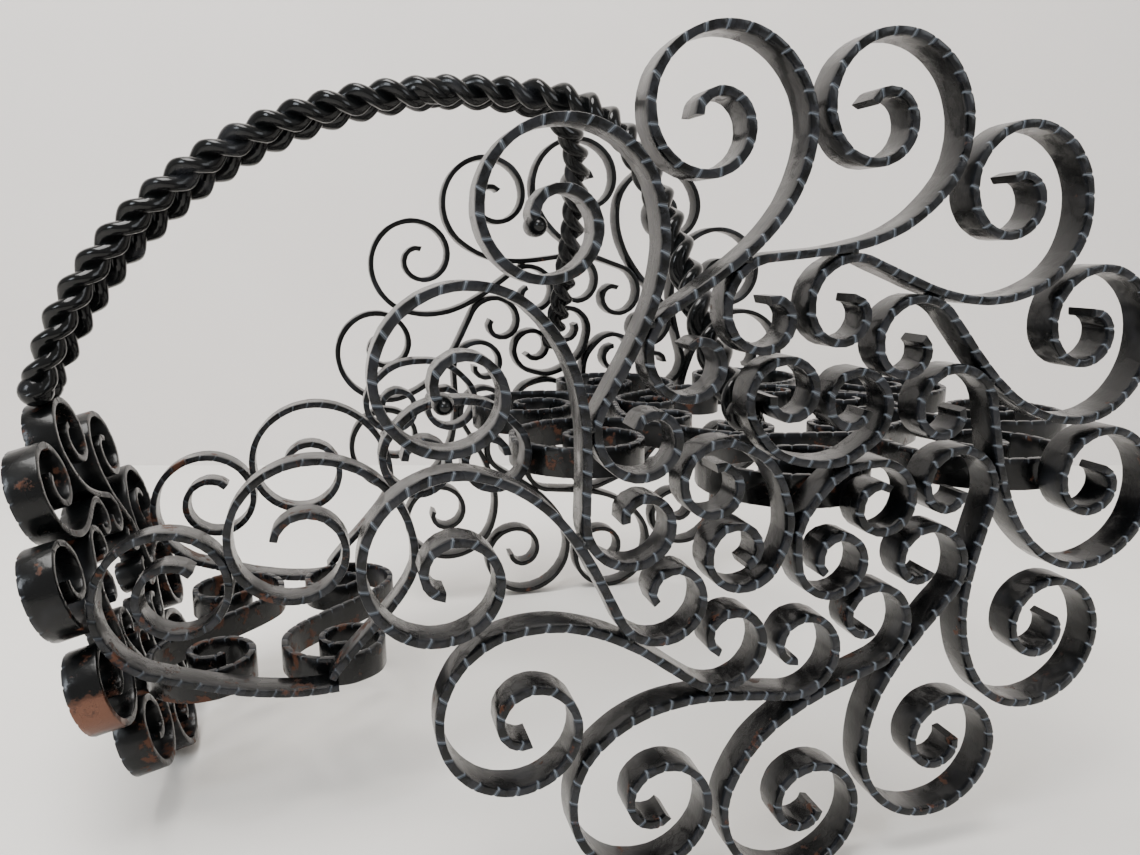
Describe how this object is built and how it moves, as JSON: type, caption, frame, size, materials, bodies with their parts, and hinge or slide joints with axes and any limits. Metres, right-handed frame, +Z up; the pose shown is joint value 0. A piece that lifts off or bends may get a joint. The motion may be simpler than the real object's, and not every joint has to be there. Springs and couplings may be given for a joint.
{
  "type": "egg collection basket",
  "caption": "Wrought iron scrollwork carrying basket with two large side rosettes, a small leaning end rosette, an open trough and a forked twisted handle",
  "frame": {"origin": "centre of the bounding box on the surface the basket stands on", "axes": "+X runs along the basket away from the small end rosette, +Y across it towards the far side rosette, +Z up"},
  "size_m": [0.3771, 0.244, 0.238],
  "materials": {
    "side_strip": "gloss black paint over hammered flat iron strip, nicked along its front edge",
    "trough_strip": "gloss black paint over flat iron strip, a little rust showing at worn edges",
    "rope_bar": "thick gloss black paint over twisted round iron rod"
  },
  "bodies": {
    "root": {"near_scroll_1": "side_strip", "near_scroll_2": "side_strip", "near_scroll_3": "side_strip", "near_scroll_4": "side_strip", "near_scroll_5": "side_strip", "near_scroll_6": "side_strip", "near_scroll_7": "side_strip", "near_scroll_8": "side_strip", "near_scroll_9": "side_strip", "near_scroll_10": "side_strip", "near_scroll_11": "side_strip", "near_scroll_12": "side_strip", "near_scroll_13": "side_strip", "far_scroll_1": "side_strip", "far_scroll_2": "side_strip", "far_scroll_3": "side_strip", "far_scroll_4": "side_strip", "far_scroll_5": "side_strip", "far_scroll_6": "side_strip", "far_scroll_7": "side_strip", "far_scroll_8": "side_strip", "far_scroll_9": "side_strip", "far_scroll_10": "side_strip", "far_scroll_11": "side_strip", "far_scroll_12": "side_strip", "far_scroll_13": "side_strip", "near_heart_1": "side_strip", "near_heart_2": "side_strip", "near_heart_3": "side_strip", "far_heart_1": "side_strip", "far_heart_2": "side_strip", "far_heart_3": "side_strip", "end_scroll_1": "trough_strip", "end_scroll_2": "trough_strip", "end_scroll_3": "trough_strip", "end_scroll_4": "trough_strip", "end_scroll_5": "trough_strip", "end_scroll_6": "trough_strip", "end_scroll_7": "trough_strip", "end_scroll_8": "trough_strip", "end_scroll_9": "trough_strip", "end_scroll_10": "trough_strip", "tray_scroll_1": "trough_strip", "tray_scroll_2": "trough_strip", "tray_scroll_3": "trough_strip", "tray_scroll_4": "trough_strip", "tray_scroll_5": "trough_strip", "tray_scroll_6": "trough_strip", "tray_scroll_7": "trough_strip", "tray_scroll_8": "trough_strip", "near_corner_scroll": "trough_strip", "near_wall_scroll": "trough_strip", "near_crest_heart": "trough_strip", "far_corner_scroll": "trough_strip", "far_wall_scroll": "trough_strip", "far_crest_heart": "trough_strip", "floor_scroll_1": "trough_strip", "floor_scroll_2": "trough_strip", "handle_bar_near": "rope_bar", "handle_bar_far": "rope_bar"}
  },
  "joints": []
}
